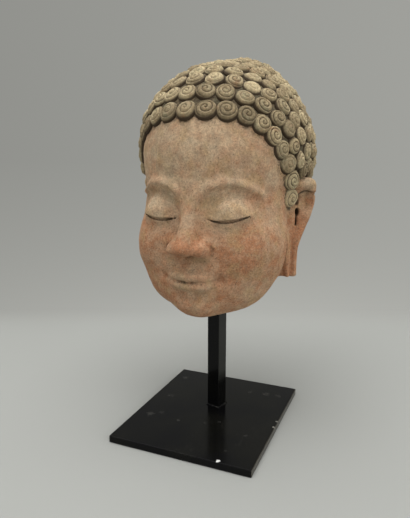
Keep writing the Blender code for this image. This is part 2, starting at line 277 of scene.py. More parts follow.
def add_eyes(points, shape):
    """Lowered eyes: full lids over each eyeball, a narrow opening between them, and a fold above."""
    folded = mirrored(points)
    across = (folded[..., 0] - EYE_X) / EYE_HALF_WIDTH
    bow = 1 - across**2
    upper_edge = EYE_Z - 4.2 - 1.6 * bow + 1.6 * across
    lower_edge = EYE_Z - 4.6 - 3.8 * bow + 1.6 * across
    centre = (EYE_X - 2, -65.5, EYE_Z - 2.5)
    upper_lid = crop(ellipsoid(folded, centre, (19, 20, 16.6)), upper_edge - 0.6 - folded[..., 2], 1)
    lower_lid = crop(ellipsoid(folded, centre, (18.6, 19.2, 15.6)), folded[..., 2] - lower_edge - 0.3, 1)
    shape = merge(merge(shape, upper_lid, 3), lower_lid, 5)
    eyeball = ellipsoid(folded, centre, (17, 17.6, 14.4))
    between_lids = np.maximum(folded[..., 2] - upper_edge, lower_edge - folded[..., 2])
    before_eyeball = np.maximum(-eyeball, folded[..., 1] + 71)
    shape = carve(shape, np.maximum(between_lids, before_eyeball), 0.7)
    fold = tube(folded, ((17, -84.5, EYE_Z + 3, 0.5), (23, -86.6, EYE_Z + 6.6, 0.9),
                         (30, -86, EYE_Z + 8.2, 1), (37, -81.4, EYE_Z + 7, 0.8),
                         (43, -75.4, EYE_Z + 4, 0.2)))
    return carve(shape, fold, 2.4)


def add_nose(points, shape):
    """A straight bridge, a round tip and two wings, cropped level below, with nostrils."""
    folded = mirrored(points)
    nose = tube(points, ((0, -79, BROW_Z, 6.6), (0, -82.5, BROW_Z - 10, 5.8), (0, -88, BROW_Z - 24, 6),
                         (0, -94, NOSE_Z + 15, 7.4), (0, -97, NOSE_Z + 9, 8.2)), 2)
    nose = merge(nose, ellipsoid(folded, (11, -89, NOSE_Z + 7.4), (6.6, 9, 6.8)), 5)
    level = NOSE_Z + 1.5 - points[..., 2] - 0.25 * (points[..., 1] + 88)
    shape = merge(shape, crop(nose, level, 3.5), 8)
    shape = carve(shape, ellipsoid(folded, (5.6, -93.5, NOSE_Z + 1.2), (2.9, 4.8, 3.2)), 1.6)
    wing = tube(folded, ((16.5, -88, NOSE_Z + 13, 0.2), (19.4, -86.4, NOSE_Z + 7.5, 0.7),
                         (18, -87, NOSE_Z + 2, 0.4)))
    return carve(shape, wing, 3.4)


def add_mouth(points, shape):
    """Closed lips with a fold under them."""
    folded = mirrored(points)
    upper = tube(folded, ((22.5, -78.8, MOUTH_Z + 1.2, 1), (14, -84.8, MOUTH_Z + 2.4, 2.5),
                          (5.5, -88.8, MOUTH_Z + 4, 3.3), (0, -88.8, MOUTH_Z + 3, 3)))
    lower = tube(folded, ((20, -79.4, MOUTH_Z - 1.6, 1.4), (12, -84.4, MOUTH_Z - 4.2, 3.5),
                          (0, -87.4, MOUTH_Z - 5.6, 4.5)))
    shape = merge(merge(shape, upper, 2.4), lower, 2.8)
    seam = tube(folded, ((23.5, -81.2, MOUTH_Z + 1.6, 0.6), (15, -87.2, MOUTH_Z - 0.4, 0.8),
                         (6, -91.4, MOUTH_Z - 0.5, 1), (0, -92.2, MOUTH_Z - 1.6, 1)))
    shape = carve(shape, seam, 1.4)
    shape = carve(shape, ellipsoid(folded, (24.6, -83.4, MOUTH_Z + 2), (2.2, 2.4, 2.2)), 5)
    groove = tube(points, ((0, -94.4, NOSE_Z - 2, 3.2), (0, -96, MOUTH_Z + 9, 4)), 1)
    shape = carve(shape, groove, 4)
    return carve(shape, ellipsoid(points, (0, -94, MOUTH_Z - 14), (18, 9, 4.6)), 8)


def by_the_ear(points):
    """The points in the ear's own frame: along the head to the back, up, and out of the ear's face."""
    from_ear = mirrored(points) - np.array((72, -10, 0), np.float32)
    along = from_ear @ np.array((0.6, 0.8, 0), np.float32)
    out = from_ear @ np.array((0.8, -0.6, 0), np.float32)
    return np.stack([along, from_ear[..., 2], out], -1)


def ear_slot(points):
    """Distance to the upright slot through the ear, wider at its top, in the ear's frame."""
    upper = ellipsoid(points, (-5.6, -19, -4), (3.2, 4.2, 11))
    return merge(upper, ellipsoid(points, (-6.7, -25.5, -4), (1.8, 5.6, 10)), 0.5)


def ear_hollow(points):
    """Distance to the hollow under the ear's top fold, turned down at its front, in the ear's frame."""
    return tube(points, ((-6.6, -12, 0.4, 1.8), (-5, -7, 0.6, 2.6), (-1.5, -4.2, 1.8, 2.9),
                         (3.5, -3.6, 2.9, 3.2), (8.4, -3.8, 4.8, 2.8)))


def ear_shade(points):
    """Painted shade in the ear's slot and along the upper side of its hollow, up to 1."""
    points = by_the_ear(points)
    slot = np.clip(-points[..., 2] / 2.5, 0, 1) * np.clip(1.6 - np.abs(ear_slot(points)), 0, 1)
    crease = tube(points, ((-6, -11, -1, 0.7), (-5, -6, -1, 1), (-2.5, -2.6, 0.4, 0.9),
                           (3.5, -1.2, 2, 0.8), (8, -1.2, 3.4, 0.6)))
    return 1.2 * slot + 0.9 * np.clip(1 - crease / 2, 0, 1)


def add_ears(points, shape):
    """Ears with long lobes, cut off square, on a flange that faces out and forward."""
    points = by_the_ear(points)
    out = points[..., 2]
    rim = tube(points, ((-13, -1, -2, 3.4), (-9, 4.2, 1, 5), (-3, 5.4, 2.6, 5), (4, 5.4, 3.2, 5),
                        (6.6, 3.4, 3.4, 4.6), (7.6, -4, 2.8, 3.6), (6.8, -14, 2.4, 3.3), (2.8, -24, 2, 3.4),
                        (-2.6, -35, 1.2, 3.8), (-6.8, -45, 0.4, 3.6), (-8.2, -54, 0, 3.4),
                        (-8.4, LOBE_END_Z, 0, 3.4)), 2)
    front = tube(points, ((-16, -20, -5, 3.2), (-16.4, -32, -3, 3.4), (-16.2, LOBE_END_Z, 0, 3.3)), 2)
    body = tube(points, ((-3, 3, -3.5, 8), (0, -8, -4, 9), (-4, -22, -4.5, 9), (-10, -36, -4.5, 8),
                         (-12.5, -50, -3, 6), (-12, LOBE_END_Z, -2.5, 6.5)), 2)
    body = crop(body, np.abs(out + 3.4) - 3.6, 2)
    root = tube(points, ((-5, 2, -11, 8), (-6, -20, -12, 8), (-12, -45, -11, 7),
                         (-13, LOBE_END_Z, -10, 6)), 2)
    ear = merge(merge(merge(rim, body, 4), front, 4), root, 9)
    bowl = ellipsoid(points, (1.6, -10.5, 5.4), (6.2, 9, 4.4))
    ear = carve(carve(ear, bowl, 2), ear_hollow(points), 0.6)
    shape = merge(shape, crop(ear, LOBE_END_Z - points[..., 1], 1.6), 4)
    shape = merge(shape, ellipsoid(points, (-12.5, -23, -2.5), (4.4, 9.5, 4.4)), 4)
    shape = carve(shape, ear_slot(points), 0.5)
    groove = tube(points, ((-11.4, -41, 2.4, 0.9), (-11.6, -54, 2.8, 1.5),
                           (-11.8, LOBE_END_Z - 2, 3, 1.7)), 2)
    shape = carve(shape, groove, 1.2)
    fold = tube(points, ((-24, -34, 9.6, 0.5), (-23.6, -44, 8.4, 1.5), (-22.6, -54, 6.2, 2.6),
                         (-21.6, -63, 3.6, 3.4), (-20.6, LOBE_END_Z - 2, 0.6, 4)), 2)
    return carve(shape, fold, 2)


def hairline_table():
    """Distance from each place over the round of the head to the first row's line, above it positive."""
    line = smooth_rows(TEMPLE_ROW + NAPE_ROW, 6)
    line = np.stack([np.radians(line[:, 0]) * TABLE_RADIUS, line[:, 1]], -1)
    angle, height = np.meshgrid(np.arange(0, 184, TABLE_STEP), np.arange(TABLE_LOW, TABLE_HIGH, TABLE_STEP),
                                indexing="ij")
    place = np.stack([np.radians(angle) * TABLE_RADIUS, height], -1)
    nearest = np.min([to_segment(place, start, end)[0] for start, end in zip(line, line[1:])], axis=0)
    return np.where(height > hair_edge(angle), nearest, -nearest).astype(np.float32)


def above_hairline(points):
    """How far in from the first row's line each point lies, negative on the face's side."""
    place = np.stack([around(points), points[..., 2] - TABLE_LOW], -1) / TABLE_STEP
    place = np.clip(place, 0, np.array(HAIRLINE.shape) - 1.1)
    cell = place.astype(np.int32)
    return looked_up(HAIRLINE, cell, place - cell)


def hair_ground(points):
    """1 where the clay under the curls lies and 0 on the face, with a ragged edge."""
    edge = above_hairline(points) + 5.6 + 1.4 * lumps(points, 5, SEED + 10)
    return np.clip(edge / 1.6, 0, 1)


def off_the_ear(points):
    """1 away from the ear and 0 on it, where the clay under the curls ends."""
    return np.clip(np.maximum(np.abs(by_the_ear(points)[..., 0] + 1.5) - 12, points[..., 2] - 9), 0, 1)


def hair_lift(points):
    """How far the clay under the curls stands above the skull: thinner by the hairline."""
    return np.interp(above_hairline(points), (0, 13), (EDGE_LAYER, HAIR_LAYER))


def add_hair_ground(points, shape):
    """The layer of clay that the curls are pressed on to."""
    return shape - hair_lift(points) * hair_ground(points)


def head(points):
    """The whole head without its curls."""
    shape = add_masses(points, skull(points))
    for low, high, add in (
        ((-90, -110, -62), (90, 120, 130), add_hair_ground),
        ((-80, -90, -120), (80, 90, -38), add_break),
        ((-70, -115, -60), (70, -45, 30), add_brows),
        ((-40, -115, -75), (40, -60, 20), add_nose),
        ((-62, -110, -50), (62, -40, 10), add_eyes),
        ((-45, -110, -105), (45, -60, -50), add_mouth),
        ((-95, -50, -85), (95, 25, 30), add_ears),
    ):
        shape = near(points, shape, low, high, add)
    return shape


def worked_head(points):
    """The head with the unevenness of hand-worked clay."""
    return head(points) + 0.35 * lumps(points, 11, SEED + 3) + 0.16 * lumps(points, 4, SEED + 4)


def skull_normals(points):
    """Outward unit vectors of the bare skull."""
    return unit(slope(skull, points, 0.2))


def slope(shape_of, points, step):
    """How the distance changes along x, y and z."""
    moves = np.eye(3, dtype=np.float32) * step
    return np.stack([shape_of(points + move) - shape_of(points - move) for move in moves], -1) / (2 * step)


def unit(vectors):
    """The vectors at length 1."""
    return vectors / (np.linalg.norm(vectors, axis=-1, keepdims=True) + 1e-9)


# From distance field to mesh

def steps_between(stops):
    """Grid positions from the stops, (start, step) pairs in rising order whose last step is unused."""
    parts = [np.arange(start, end, step) for (start, step), (end, _) in zip(stops, stops[1:])]
    return np.concatenate(parts).astype(np.float32)


def surface_net(shape_of, axes):
    """A mesh of quads on the zero surface: one point in each grid cell it passes through."""
    points = np.stack(np.meshgrid(*axes, indexing="ij"), -1)
    distance = shape_of(points).astype(np.float32)
    cells = np.array(distance.shape) - 1
    total = np.zeros((*cells, 3), np.float32)
    crossings = np.zeros(cells, np.float32)

    def at(corner):
        return tuple(slice(shift, count + shift) for shift, count in zip(corner, cells))

    for first, second in itertools.combinations(np.ndindex(2, 2, 2), 2):
        if sum(a != b for a, b in zip(first, second)) > 1:
            continue
        here, there = distance[at(first)], distance[at(second)]
        crosses = (here < 0) != (there < 0)
        t = np.where(crosses, here / np.where(crosses, here - there, 1), 0)[..., None]
        total += (points[at(first)] * (1 - t) + points[at(second)] * t) * crosses[..., None]
        crossings += crosses
    used = crossings > 0
    number = np.full(used.shape, -1)
    number[used] = np.arange(used.sum())
    return total[used] / crossings[used][:, None], net_faces(distance < 0, number)


def net_faces(inside, number):
    """One quad across every grid edge whose ends lie on different sides of the surface."""
    faces = []
    for axis, others in enumerate(((1, 2), (2, 0), (0, 1))):
        low = [slice(1, -1)] * 3
        high = [slice(1, -1)] * 3
        low[axis], high[axis] = slice(0, -1), slice(1, None)
        start = inside[tuple(low)]
        changes = start != inside[tuple(high)]
        edge = np.argwhere(changes)
        ring = []
        for shift in ((0, 0), (1, 0), (1, 1), (0, 1)):
            cell = edge.copy()
            cell[:, others] += shift
            ring.append(number[tuple(cell.T)])
        quads = np.stack(ring, -1)
        outward = start[changes]
        quads[~outward] = quads[~outward][:, ::-1]
        faces.append(quads)
    return np.concatenate(faces)


def settle(shape_of, points, rounds=3, furthest=0.6):
    """The points moved on to the zero surface, at most this far in each round."""
    for _ in range(rounds):
        direction = slope(shape_of, points, 0.05)
        steepness = (direction**2).sum(-1) + 1e-6
        move = (shape_of(points) / steepness)[:, None] * direction
        length = np.linalg.norm(move, axis=1, keepdims=True)
        points = points - move * np.minimum(1, furthest / np.maximum(length, 1e-6))
    return points


def placed(name, data):
    """A new object with this data in the scene."""
    made = bpy.data.objects.new(name, data)
    bpy.context.scene.collection.objects.link(made)
    return made


def mesh_object(name, points, faces, finish):
    """A smooth mesh object of these points, in metres."""
    mesh = bpy.data.meshes.new(name)
    mesh.from_pydata(points.tolist(), [], faces)
    mesh.polygons.foreach_set("use_smooth", np.ones(len(mesh.polygons), bool))
    mesh.materials.append(finish)
    mesh.update()
    return placed(name, mesh)


def grown(points, faces, name, values, clay):
    """A piece of the head in place on the stand, with one number per point under each name in values."""
    obj = mesh_object(name, points * MM + HEAD_CENTRE, faces, clay)
    for label, numbers in values.items():
        attribute = obj.data.attributes.new(label, "FLOAT", "POINT")
        attribute.data.foreach_set("value", np.asarray(numbers, np.float32))
    return obj


# Where the curls go

def further_back(angle):
    """Degrees that the hairline lies further back on the right temple than on the left."""
    return FURTHER_BACK * np.exp(-(((angle - 62) / 17) ** 2))


def around(points):
    """Degrees round from the front, as on the left side: on the right the same hair lies further back."""
    angle = np.degrees(np.arctan2(np.abs(points[..., 0]), -points[..., 1]))
    return angle - np.where(points[..., 0] < 0, further_back(angle), 0)


def before_ear(points):
    """True over the sideburns, in front of the ears."""
    return (around(points) < EAR_ANGLE) & (points[..., 2] < SIDEBURN_Z)


def pitch(points):
    """Distance from one curl to the next, larger over the forehead and in front of the ears."""
    usual = np.interp(around(points), (17, 30), (FRONT_PITCH, SIDE_PITCH))
    return np.where(before_ear(points), SIDEBURN_PITCH, usual)


def on_skull(directions, centre):
    """Where rays from the centre leave the bare skull."""
    centre = np.array(centre, np.float32)
    inner = np.zeros(len(directions), np.float32)
    outer = np.full(len(directions), 160, np.float32)
    for _ in range(24):
        middle = (inner + outer) / 2
        inside = skull(centre + directions * middle[:, None]) < 0
        inner = np.where(inside, middle, inner)
        outer = np.where(inside, outer, middle)
    return centre + directions * inner[:, None]


def along_line(stops, travelled, line):
    """Places on the line at these distances from its start."""
    return np.stack([np.interp(stops, travelled, line[:, axis]) for axis in range(3)], -1)


def walk(row, start):
    """Points on the skull a pitch apart along a row, the first at the distance start, and the row's line."""
    angle, height = smooth_rows(row, 12).T
    turn, level = np.radians(angle), np.zeros(len(angle))
    directions = np.stack([np.sin(turn), -np.cos(turn), level], -1)
    line = on_skull(directions.astype(np.float32), np.stack([level, level, height], -1))
    travelled = np.append(0, np.cumsum(np.linalg.norm(np.diff(line, axis=0), axis=1)))
    stops = [start]
    while stops[-1] < travelled[-1]:
        stops.append(stops[-1] + float(pitch(along_line(stops[-1], travelled, line))))
    return along_line(stops[:-1], travelled, line), line


def hair_edge(angle):
    """Height of the first row's centres at this angle round from the front."""
    temple, nape = (np.interp(angle, *zip(*row)) for row in (TEMPLE_ROW, NAPE_ROW))
    return np.where(angle < EAR_ANGLE, temple, nape)


def skull_samples(count=40000):
    """Points spread evenly over the hair's part of the skull along a Fibonacci spiral."""
    index = np.arange(count) + 0.5
    tilt = np.arccos(1 - 2 * index / count)
    turn = np.pi * (1 + 5**0.5) * index
    directions = np.stack([np.cos(turn) * np.sin(tilt), np.sin(turn) * np.sin(tilt), np.cos(tilt)], -1)
    points = on_skull(directions.astype(np.float32), (0, 5, 15))
    return points[points[:, 2] > hair_edge(around(points))]


def row_gap(points):
    """Distance from one row of curls to the next, larger over the forehead."""
    return np.interp(around(points), (15, 38), (FRONT_GAP, SIDE_GAP))


def first_row():
    """Centres of the curls along the hairline, and points along the line itself, on both sides."""
    centres, lines = [], []
    for side, share in ((1, ROW_STARTS[0]), (-1, 1 - ROW_STARTS[0])):
        for row, start in ((TEMPLE_ROW, share * FRONT_PITCH), (NAPE_ROW, 0)):
            if side < 0:
                row = [(angle + further_back(angle), height) for angle, height in row]
            stops, line = walk(row, start)
            centres.append(stops * (side, 1, 1))
            lines.append(line * (side, 1, 1))
    return np.concatenate(centres), np.concatenate(lines)


def to_nearest(points, places):
    """Distance from each point to the nearest of these places."""
    return np.min([np.linalg.norm(points - place, axis=1) for place in places], axis=0)


def row_depths(samples, line):
    """How many rows each sample lies in from the hairline, measured over the round of the skull."""
    width = 2 * SKULL_RADIUS
    return width * np.arcsin(np.clip(to_nearest(samples, line[::3]) / width, 0, 1)) / row_gap(samples)


def means(number, points, groups):
    """The mean of the points in each numbered group, and how many points that group has."""
    count = np.bincount(number, minlength=groups)
    total = np.stack([np.bincount(number, points[:, axis], groups) for axis in range(3)], -1)
    return total / np.maximum(count, 1)[:, None], count


def ring_of_curls(samples, depths, row, pole):
    """Centres evenly spaced round the closed line where the depth equals this row's number."""
    axis = unit(pole)
    front = unit(np.array((0, -1, 0)) + axis * axis[1])
    side = np.cross(axis, front)
    half_band = 0.13
    close = samples[np.abs(depths - row) < half_band]
    turn = np.arctan2(close @ side, close @ front) % (2 * np.pi)
    bins = 200 if row < 6 else 80
    ring, count = means((turn / (2 * np.pi) * bins).astype(int), close, bins)
    ring = ring[count > 0]
    for _ in range(2):
        ring = (np.roll(ring, 1, axis=0) + 2 * ring + np.roll(ring, -1, axis=0)) / 4
    closed = np.vstack([ring, ring[:1]])
    step = np.linalg.norm(np.diff(closed, axis=0), axis=1) / pitch((closed[1:] + closed[:-1]) / 2)
    travelled = np.append(0, np.cumsum(step))
    curls = max(round(travelled[-1]), 1)
    stops = (np.arange(curls) + ROW_STARTS[row % len(ROW_STARTS)]) * travelled[-1] / curls
    return along_line(stops, travelled, closed)


def pack_curls():
    """The curls' centres: a row along the hairline, and inside it one row after another up to the crown."""
    outer, line = first_row()
    samples = skull_samples()
    depths = row_depths(samples, line)
    pole = samples[depths > depths.max() - 0.3].mean(0)
    inner = [ring_of_curls(samples, depths, row, pole) for row in range(1, int(depths.max() + 0.45))]
    centres = np.concatenate([outer, *inner, pole[None]]).astype(np.float32)
    centres = gaps_filled(evened(centres, len(outer), samples[::2]), samples[depths > 3])
    return spread(evened(centres, len(outer), samples[::2]), len(outer))


def gaps_filled(centres, samples):
    """The centres, with one more in each place where a curl is missing."""
    nearest = to_nearest(samples, centres)
    while nearest.max() > WIDEST_GAP:
        added = samples[nearest.argmax()]
        centres = np.vstack([centres, added])
        nearest = np.minimum(nearest, np.linalg.norm(samples - added, axis=1))
    return centres


def back_on_skull(points):
    """The points moved on to the bare skull from close by."""
    return (points - skull_normals(points) * skull(points)[:, None]).astype(np.float32)


def evened(centres, fixed, samples, rounds=4, move_share=0.8):
    """The centres, all but the first few, moved towards the middle of the ground nearest to each."""
    for _ in range(rounds):
        owner = np.concatenate([
            np.argmin(((part[:, None] - centres) ** 2).sum(-1), axis=1)
            for part in np.array_split(samples, 8)
        ])
        middle = means(owner, samples, len(centres))[0]
        centres[fixed:] += move_share * (middle - centres)[fixed:]
        centres = back_on_skull(centres)
    return centres


def spread(centres, fixed, rounds=14, closest=0.97, push_share=2.5):
    """The centres, all but the first few, pushed apart where they are closer than this share of a pitch."""
    for _ in range(rounds):
        away = centres[:, None] - centres[None]
        apart = np.linalg.norm(away, axis=2) + np.eye(len(centres)) * 1000
        wanted = closest * pitch(centres)[:, None]
        push = np.clip(wanted - apart, 0, None) / wanted
        move = push_share * (away / apart[..., None] * push[..., None]).sum(1)
        move[:fixed] = 0
        centres = back_on_skull(centres + move)
    return centres


def curl_radii(centres):
    """A little over half the mean distance from each curl to the five nearest, more towards the crown."""
    apart = np.linalg.norm(centres[:, None] - centres[None], axis=2)
    share = np.interp(above_hairline(centres), (12, 40), (0.545, 0.59))
    return np.clip(np.sort(apart, axis=1)[:, 1:6].mean(axis=1) * share, 7, 9.2)


# The curls, and the y at which the middle and the back ones start

CURL_SPOKES = 36
CURL_RINGS = 22
FEWEST_TURNS = 2.3
MOST_TURNS = 3.0
CURL_HEIGHT = 4.8
ROPE_DEPTH = 1.4
SINK = 3.0
SIDEBURN_TURN = 0.35
MIDDLE_START = -9.0
BACK_START = 45.0


def curl_faces(first):
    """Faces of one curl, whose points from this number on are its top, rings going out, and its bottom."""
    ring = np.arange(CURL_SPOKES)
    following = np.roll(ring, -1)
    last = first + 1 + (CURL_RINGS - 1) * CURL_SPOKES
    bottom = first + 1 + CURL_RINGS * CURL_SPOKES
    faces = [(first, first + 1 + a, first + 1 + b) for a, b in zip(ring, following)]
    for step in range(CURL_RINGS - 1):
        inner = first + 1 + step * CURL_SPOKES
        outer = inner + CURL_SPOKES
        faces += [(inner + a, outer + a, outer + b, inner + b) for a, b in zip(ring, following)]
    return faces + [(bottom, last + b, last + a) for a, b in zip(ring, following)]


def curl_points(centre, normal, radius, least, draw):
    """One spiral button on the skull, and for each point how deep it lies in the groove and at the foot."""
    tilt = draw.normal(0, 0.06, 3)
    up = unit(normal + tilt)
    side = unit(np.cross((0, 0, 1), up))
    across = np.cross(up, side)
    share = np.linspace(0, 1, CURL_RINGS + 1)[1:] ** 0.92
    turn = np.arange(CURL_SPOKES) / CURL_SPOKES * 2 * np.pi
    share, turn = np.meshgrid(share, turn, indexing="ij")
    turns = draw.uniform(FEWEST_TURNS, MOST_TURNS)
    start = draw.uniform(0, 1)
    height = CURL_HEIGHT * draw.normal(1, 0.07)
    crisp = draw.uniform(least, 1.15)
    oval = 1 + draw.normal(0, 0.03) * np.cos(2 * (turn - draw.uniform(0, 6.3)))
    oval += 0.02 * np.cos(3 * turn + start * 6)
    phase = share * turns - turn / (2 * np.pi) + start
    rope = np.abs(np.sin(np.pi * phase)) ** 0.5
    fade = np.clip((0.93 - share) * 6, 0, 1)
    round_side = (1 - share**4.2) ** 0.5
    rise = height * (0.68 * round_side + 0.32 * (1 - share)) + ROPE_DEPTH * (crisp * rope * fade - 1)
    outward = np.cos(turn)[..., None] * side + np.sin(turn)[..., None] * across
    shell = centre + (share * radius * oval)[..., None] * outward + rise[..., None] * up
    top = centre + (height - 0.2) * up
    points = np.concatenate([[top], shell.reshape(-1, 3), [centre - SINK * up]])
    # How much painted shade each point gets in the groove and at the foot
    groove = np.concatenate([[0.3], (crisp * (1 - rope) * fade).ravel(), [0]])
    foot = np.concatenate([[0], (1 - np.clip(rise / height, 0, 1)).ravel() ** 2, [1]])
    return points, groove, foot


def build_curls(centres, radii, clay):
    """The curls as three objects: front, middle and back. The first rows over the forehead are darker, as
    painted shade.
    """
    bases = centres + skull_normals(centres) * hair_lift(centres)[:, None]
    # Painted shade: the first rows over the forehead, which face forward, are made darker
    darker = np.interp(above_hairline(centres), (0, 15), (0.8, 0))
    darker *= np.interp(around(centres), (30, 60), (1, 0.3))
    draw = np.random.default_rng(SEED + 5)
    zones = {"curls_front": [], "curls_middle": [], "curls_back": []}
    sideburn = before_ear(centres)
    normals = unit(skull_normals(centres) - np.outer(sideburn, (0, SIDEBURN_TURN, 0)))
    crispness = np.interp(above_hairline(centres), (8, 24), (0.85, 0.55)) - 0.3 * sideburn
    for centre, normal, radius, shade, least in zip(bases, normals, radii, darker, crispness):
        points, groove, foot = curl_points(centre, normal, radius, least, draw)
        tone_and_shade = np.full(len(points), draw.normal(0, 0.5) - shade)
        zone = list(zones)[int(centre[1] >= MIDDLE_START) + int(centre[1] >= BACK_START)]
        zones[zone].append((points, groove, foot, tone_and_shade))
    return [joined_curls(name, curls, clay) for name, curls in zones.items()]


def joined_curls(name, curls, clay):
    """One object of these curls, a little uneven."""
    points, groove, foot, tone_and_shade = (np.concatenate(part) for part in zip(*curls))
    each = len(curls[0][0])
    faces = [face for number in range(len(curls)) for face in curl_faces(number * each)]
    middle = np.repeat([part[0].mean(0) for part in curls], each, axis=0)
    uneven = points.astype(np.float32)
    wobble = 0.3 * lumps(uneven, 4, SEED + 6) + 0.18 * lumps(uneven, 1.6, SEED + 7)
    points = points + unit(points - middle) * wobble[:, None]
    return grown(points, faces, name, {"groove": groove, "foot": foot, "tone_and_shade": tone_and_shade}, clay)


# The head as a mesh

def occluded(points, normals):
    """How closed in each point is, 0 in the open and towards 1 deep in a fold."""
    total = 0
    for reach, weight in ((1.5, 0.4), (3.5, 0.35), (7, 0.25)):
        total = total + weight * np.clip(1 - head(points + normals * reach) / reach, 0, 1)
    return total


# Where the clay is pinker, and where paler: each patch's strength, centre and size
PINK_PATCHES = (
    (1.15, (40, -62, -42), 26),
    (1.3, (0, -99, NOSE_Z + 10), 13),
    (0.9, (78, -8, -30), 34),
    (0.7, (0, -70, -96), 20),
    (0.6, (46, -20, -75), 30),
)
BUFF_PATCHES = (
    (0.85, (0, -80, 40), 45),
    (1.05, (30, -84, EYE_Z), 15),
    (1.3, (76, -14, 8), 11),
    (0.5, (12, -86, MOUTH_Z), 16),
)


def patches(points, rows):
    """Soft patches on both sides of the head, each row a strength, a centre and a size."""
    folded = mirrored(points)
    return sum(strength * np.exp(-((np.linalg.norm(folded - np.array(centre), axis=-1) / size) ** 2))
               for strength, centre, size in rows)


def warmth(points):
    """How much the surface turns from buff to the pink of the bare clay."""
    pink = patches(points, PINK_PATCHES) + 0.4 * np.clip(-points[:, 2] / 60, 0, 1)
    noise = 0.22 * lumps(points, 26, SEED + 8) + 0.16 * lumps(points, 9, SEED + 9)
    return np.clip(0.42 + 0.5 * pink - 0.4 * patches(points, BUFF_PATCHES) + noise, 0, 1)


def beside_curls(points, centres, radii):
    """1 at the foot of a curl, falling to 0 about 2 mm off."""
    gap = np.inf
    for centre, radius in zip(centres, radii):
        gap = np.minimum(gap, np.linalg.norm(points - centre, axis=1) - radius)
    return np.clip(1 - (gap + 1.2 * lumps(points, 12, SEED + 11)) / 2.2, 0, 1)


def build_head(centres, radii, clay):
    """The head without its curls, finest over the face."""
    across = steps_between(((-92, 1.05), (-62, 1.4), (-52, 1.2), (52, 1.4), (62, 1.05), (93, 0)))
    deep = steps_between(((-112, 1.2), (-60, 1.6), (-38, 1.05), (2, 2.6), (98, 0)))
    high = steps_between(((-114, 1.4), (-82, 1), (-62, 1.4), (-34, 0.95), (-2, 1.3), (20, 1.5), (64, 2.8),
                          (124, 0)))
    points, faces = surface_net(head, (across, deep, high))
    points = settle(worked_head, points.astype(np.float32))
    normals = unit(slope(head, points, 0.4))
    inside = np.clip(-add_masses(points, skull(points)) / 1.5, 0, 1)
    by_break = np.clip(1 - above_break(points) / 6, 0, 1)
    values = {
        "warm": warmth(points),
        # Painted shade: darker in folds and recesses by how closed in each point is, and in the ear's slot
        # and under its top fold
        "recess_shade": occluded(points, normals) + ear_shade(points),
        "scalp": hair_ground(points) * off_the_ear(points),
        "beside": beside_curls(points, centres, radii),
        "broken": inside * by_break * np.clip(0.3 - normals[:, 2] * 2, 0, 1),
    }
    return grown(points, faces.tolist(), "head", values, clay)


# Shader nodes

def add_node(tree, kind, inputs=None, **settings):
    """A new node with these settings, each input a value or another node's output."""
    made = tree.nodes.new(kind)
    for name, value in settings.items():
        setattr(made, name, value)
    for name, value in (inputs or {}).items():
        if isinstance(value, bpy.types.NodeSocket):
            tree.links.new(value, made.inputs[name])
        else:
            made.inputs[name].default_value = value
    return made


class Shader:
    """A Principled material and short ways of adding nodes to it. Sizes are in millimetres."""

    def __init__(self, name, roughness, specular, diffuse_roughness=0.0):
        self.material = bpy.data.materials.new(name)
        self.material.use_nodes = True
        self.tree = self.material.node_tree
        self.surface = self.tree.nodes["Principled BSDF"]
        for label, value in (("Roughness", roughness), ("Specular IOR Level", specular),
                             ("Diffuse Roughness", diffuse_roughness)):
            self.surface.inputs[label].default_value = value
        self.place = self.node("ShaderNodeTexCoord").outputs["Object"]

    def node(self, kind, inputs=None, **settings):
        """A new node of this material."""
        return add_node(self.tree, kind, inputs, **settings)

    def noise(self, size, detail=3, roughness=0.55):
        """Soft random values about 0.5, which change over this size."""
        inputs = {"Vector": self.place, "Scale": 1 / (size * MM), "Detail": detail, "Roughness": roughness}
        return self.node("ShaderNodeTexNoise", inputs).outputs["Fac"]

    def cells(self, size):
        """Distance from the middle of the nearest of many random cells, in cell sizes."""
        inputs = {"Vector": self.place, "Scale": 1 / (size * MM)}
        return self.node("ShaderNodeTexVoronoi", inputs).outputs["Distance"]

    def number(self, name):
        """One of the numbers that the mesh holds for each point."""
        return self.node("ShaderNodeAttribute", attribute_name=name).outputs["Fac"]

    def span(self, value, low, high, to_low=0.0, to_high=1.0):
        """The value turned from low..high to to_low..to_high, eased at the ends."""
        inputs = {"Value": value, "From Min": low, "From Max": high, "To Min": to_low, "To Max": to_high}
        return self.node("ShaderNodeMapRange", inputs, interpolation_type="SMOOTHSTEP").outputs["Result"]

    def maths(self, operation, first, second=0.0):
        """Both values put together by a Math node."""
        return self.node("ShaderNodeMath", {0: first, 1: second}, operation=operation).outputs[0]

    def times(self, first, second):
        """One value times the other."""
        return self.maths("MULTIPLY", first, second)

    def plus(self, first, second):
        """Both values added up."""
        return self.maths("ADD", first, second)

    def mix(self, share, first, second):
        """Two colours mixed."""
        inputs = {"Factor": share, 6: first, 7: second}
        return self.node("ShaderNodeMix", inputs, data_type="RGBA").outputs[2]

    def vector(self, operation, inputs):
        """A Vector Math node."""
        return self.node("ShaderNodeVectorMath", inputs, operation=operation)

    def scaled(self, colour, factor):
        """The colour made lighter or darker by a factor."""
        return self.vector("SCALE", {0: colour, "Scale": factor}).outputs["Vector"]

    def bump(self, height, distance, strength=1.0, under=None):
        """The surface's normals bent by a height, over another bump where one is given."""
        inputs = {"Height": height, "Distance": distance * MM, "Strength": strength}
        if under:
            inputs["Normal"] = under
        return self.node("ShaderNodeBump", inputs).outputs["Normal"]

    def finish(self, colour=None, roughness=None, normal=None):
        """Links what is given to the surface and returns the material."""
        for name, socket in (("Base Color", colour), ("Roughness", roughness), ("Normal", normal)):
            if socket:
                self.tree.links.new(socket, self.surface.inputs[name])
        return self.material


def rgb(red, green, blue):
    """A colour with its alpha."""
    return (red, green, blue, 1.0)


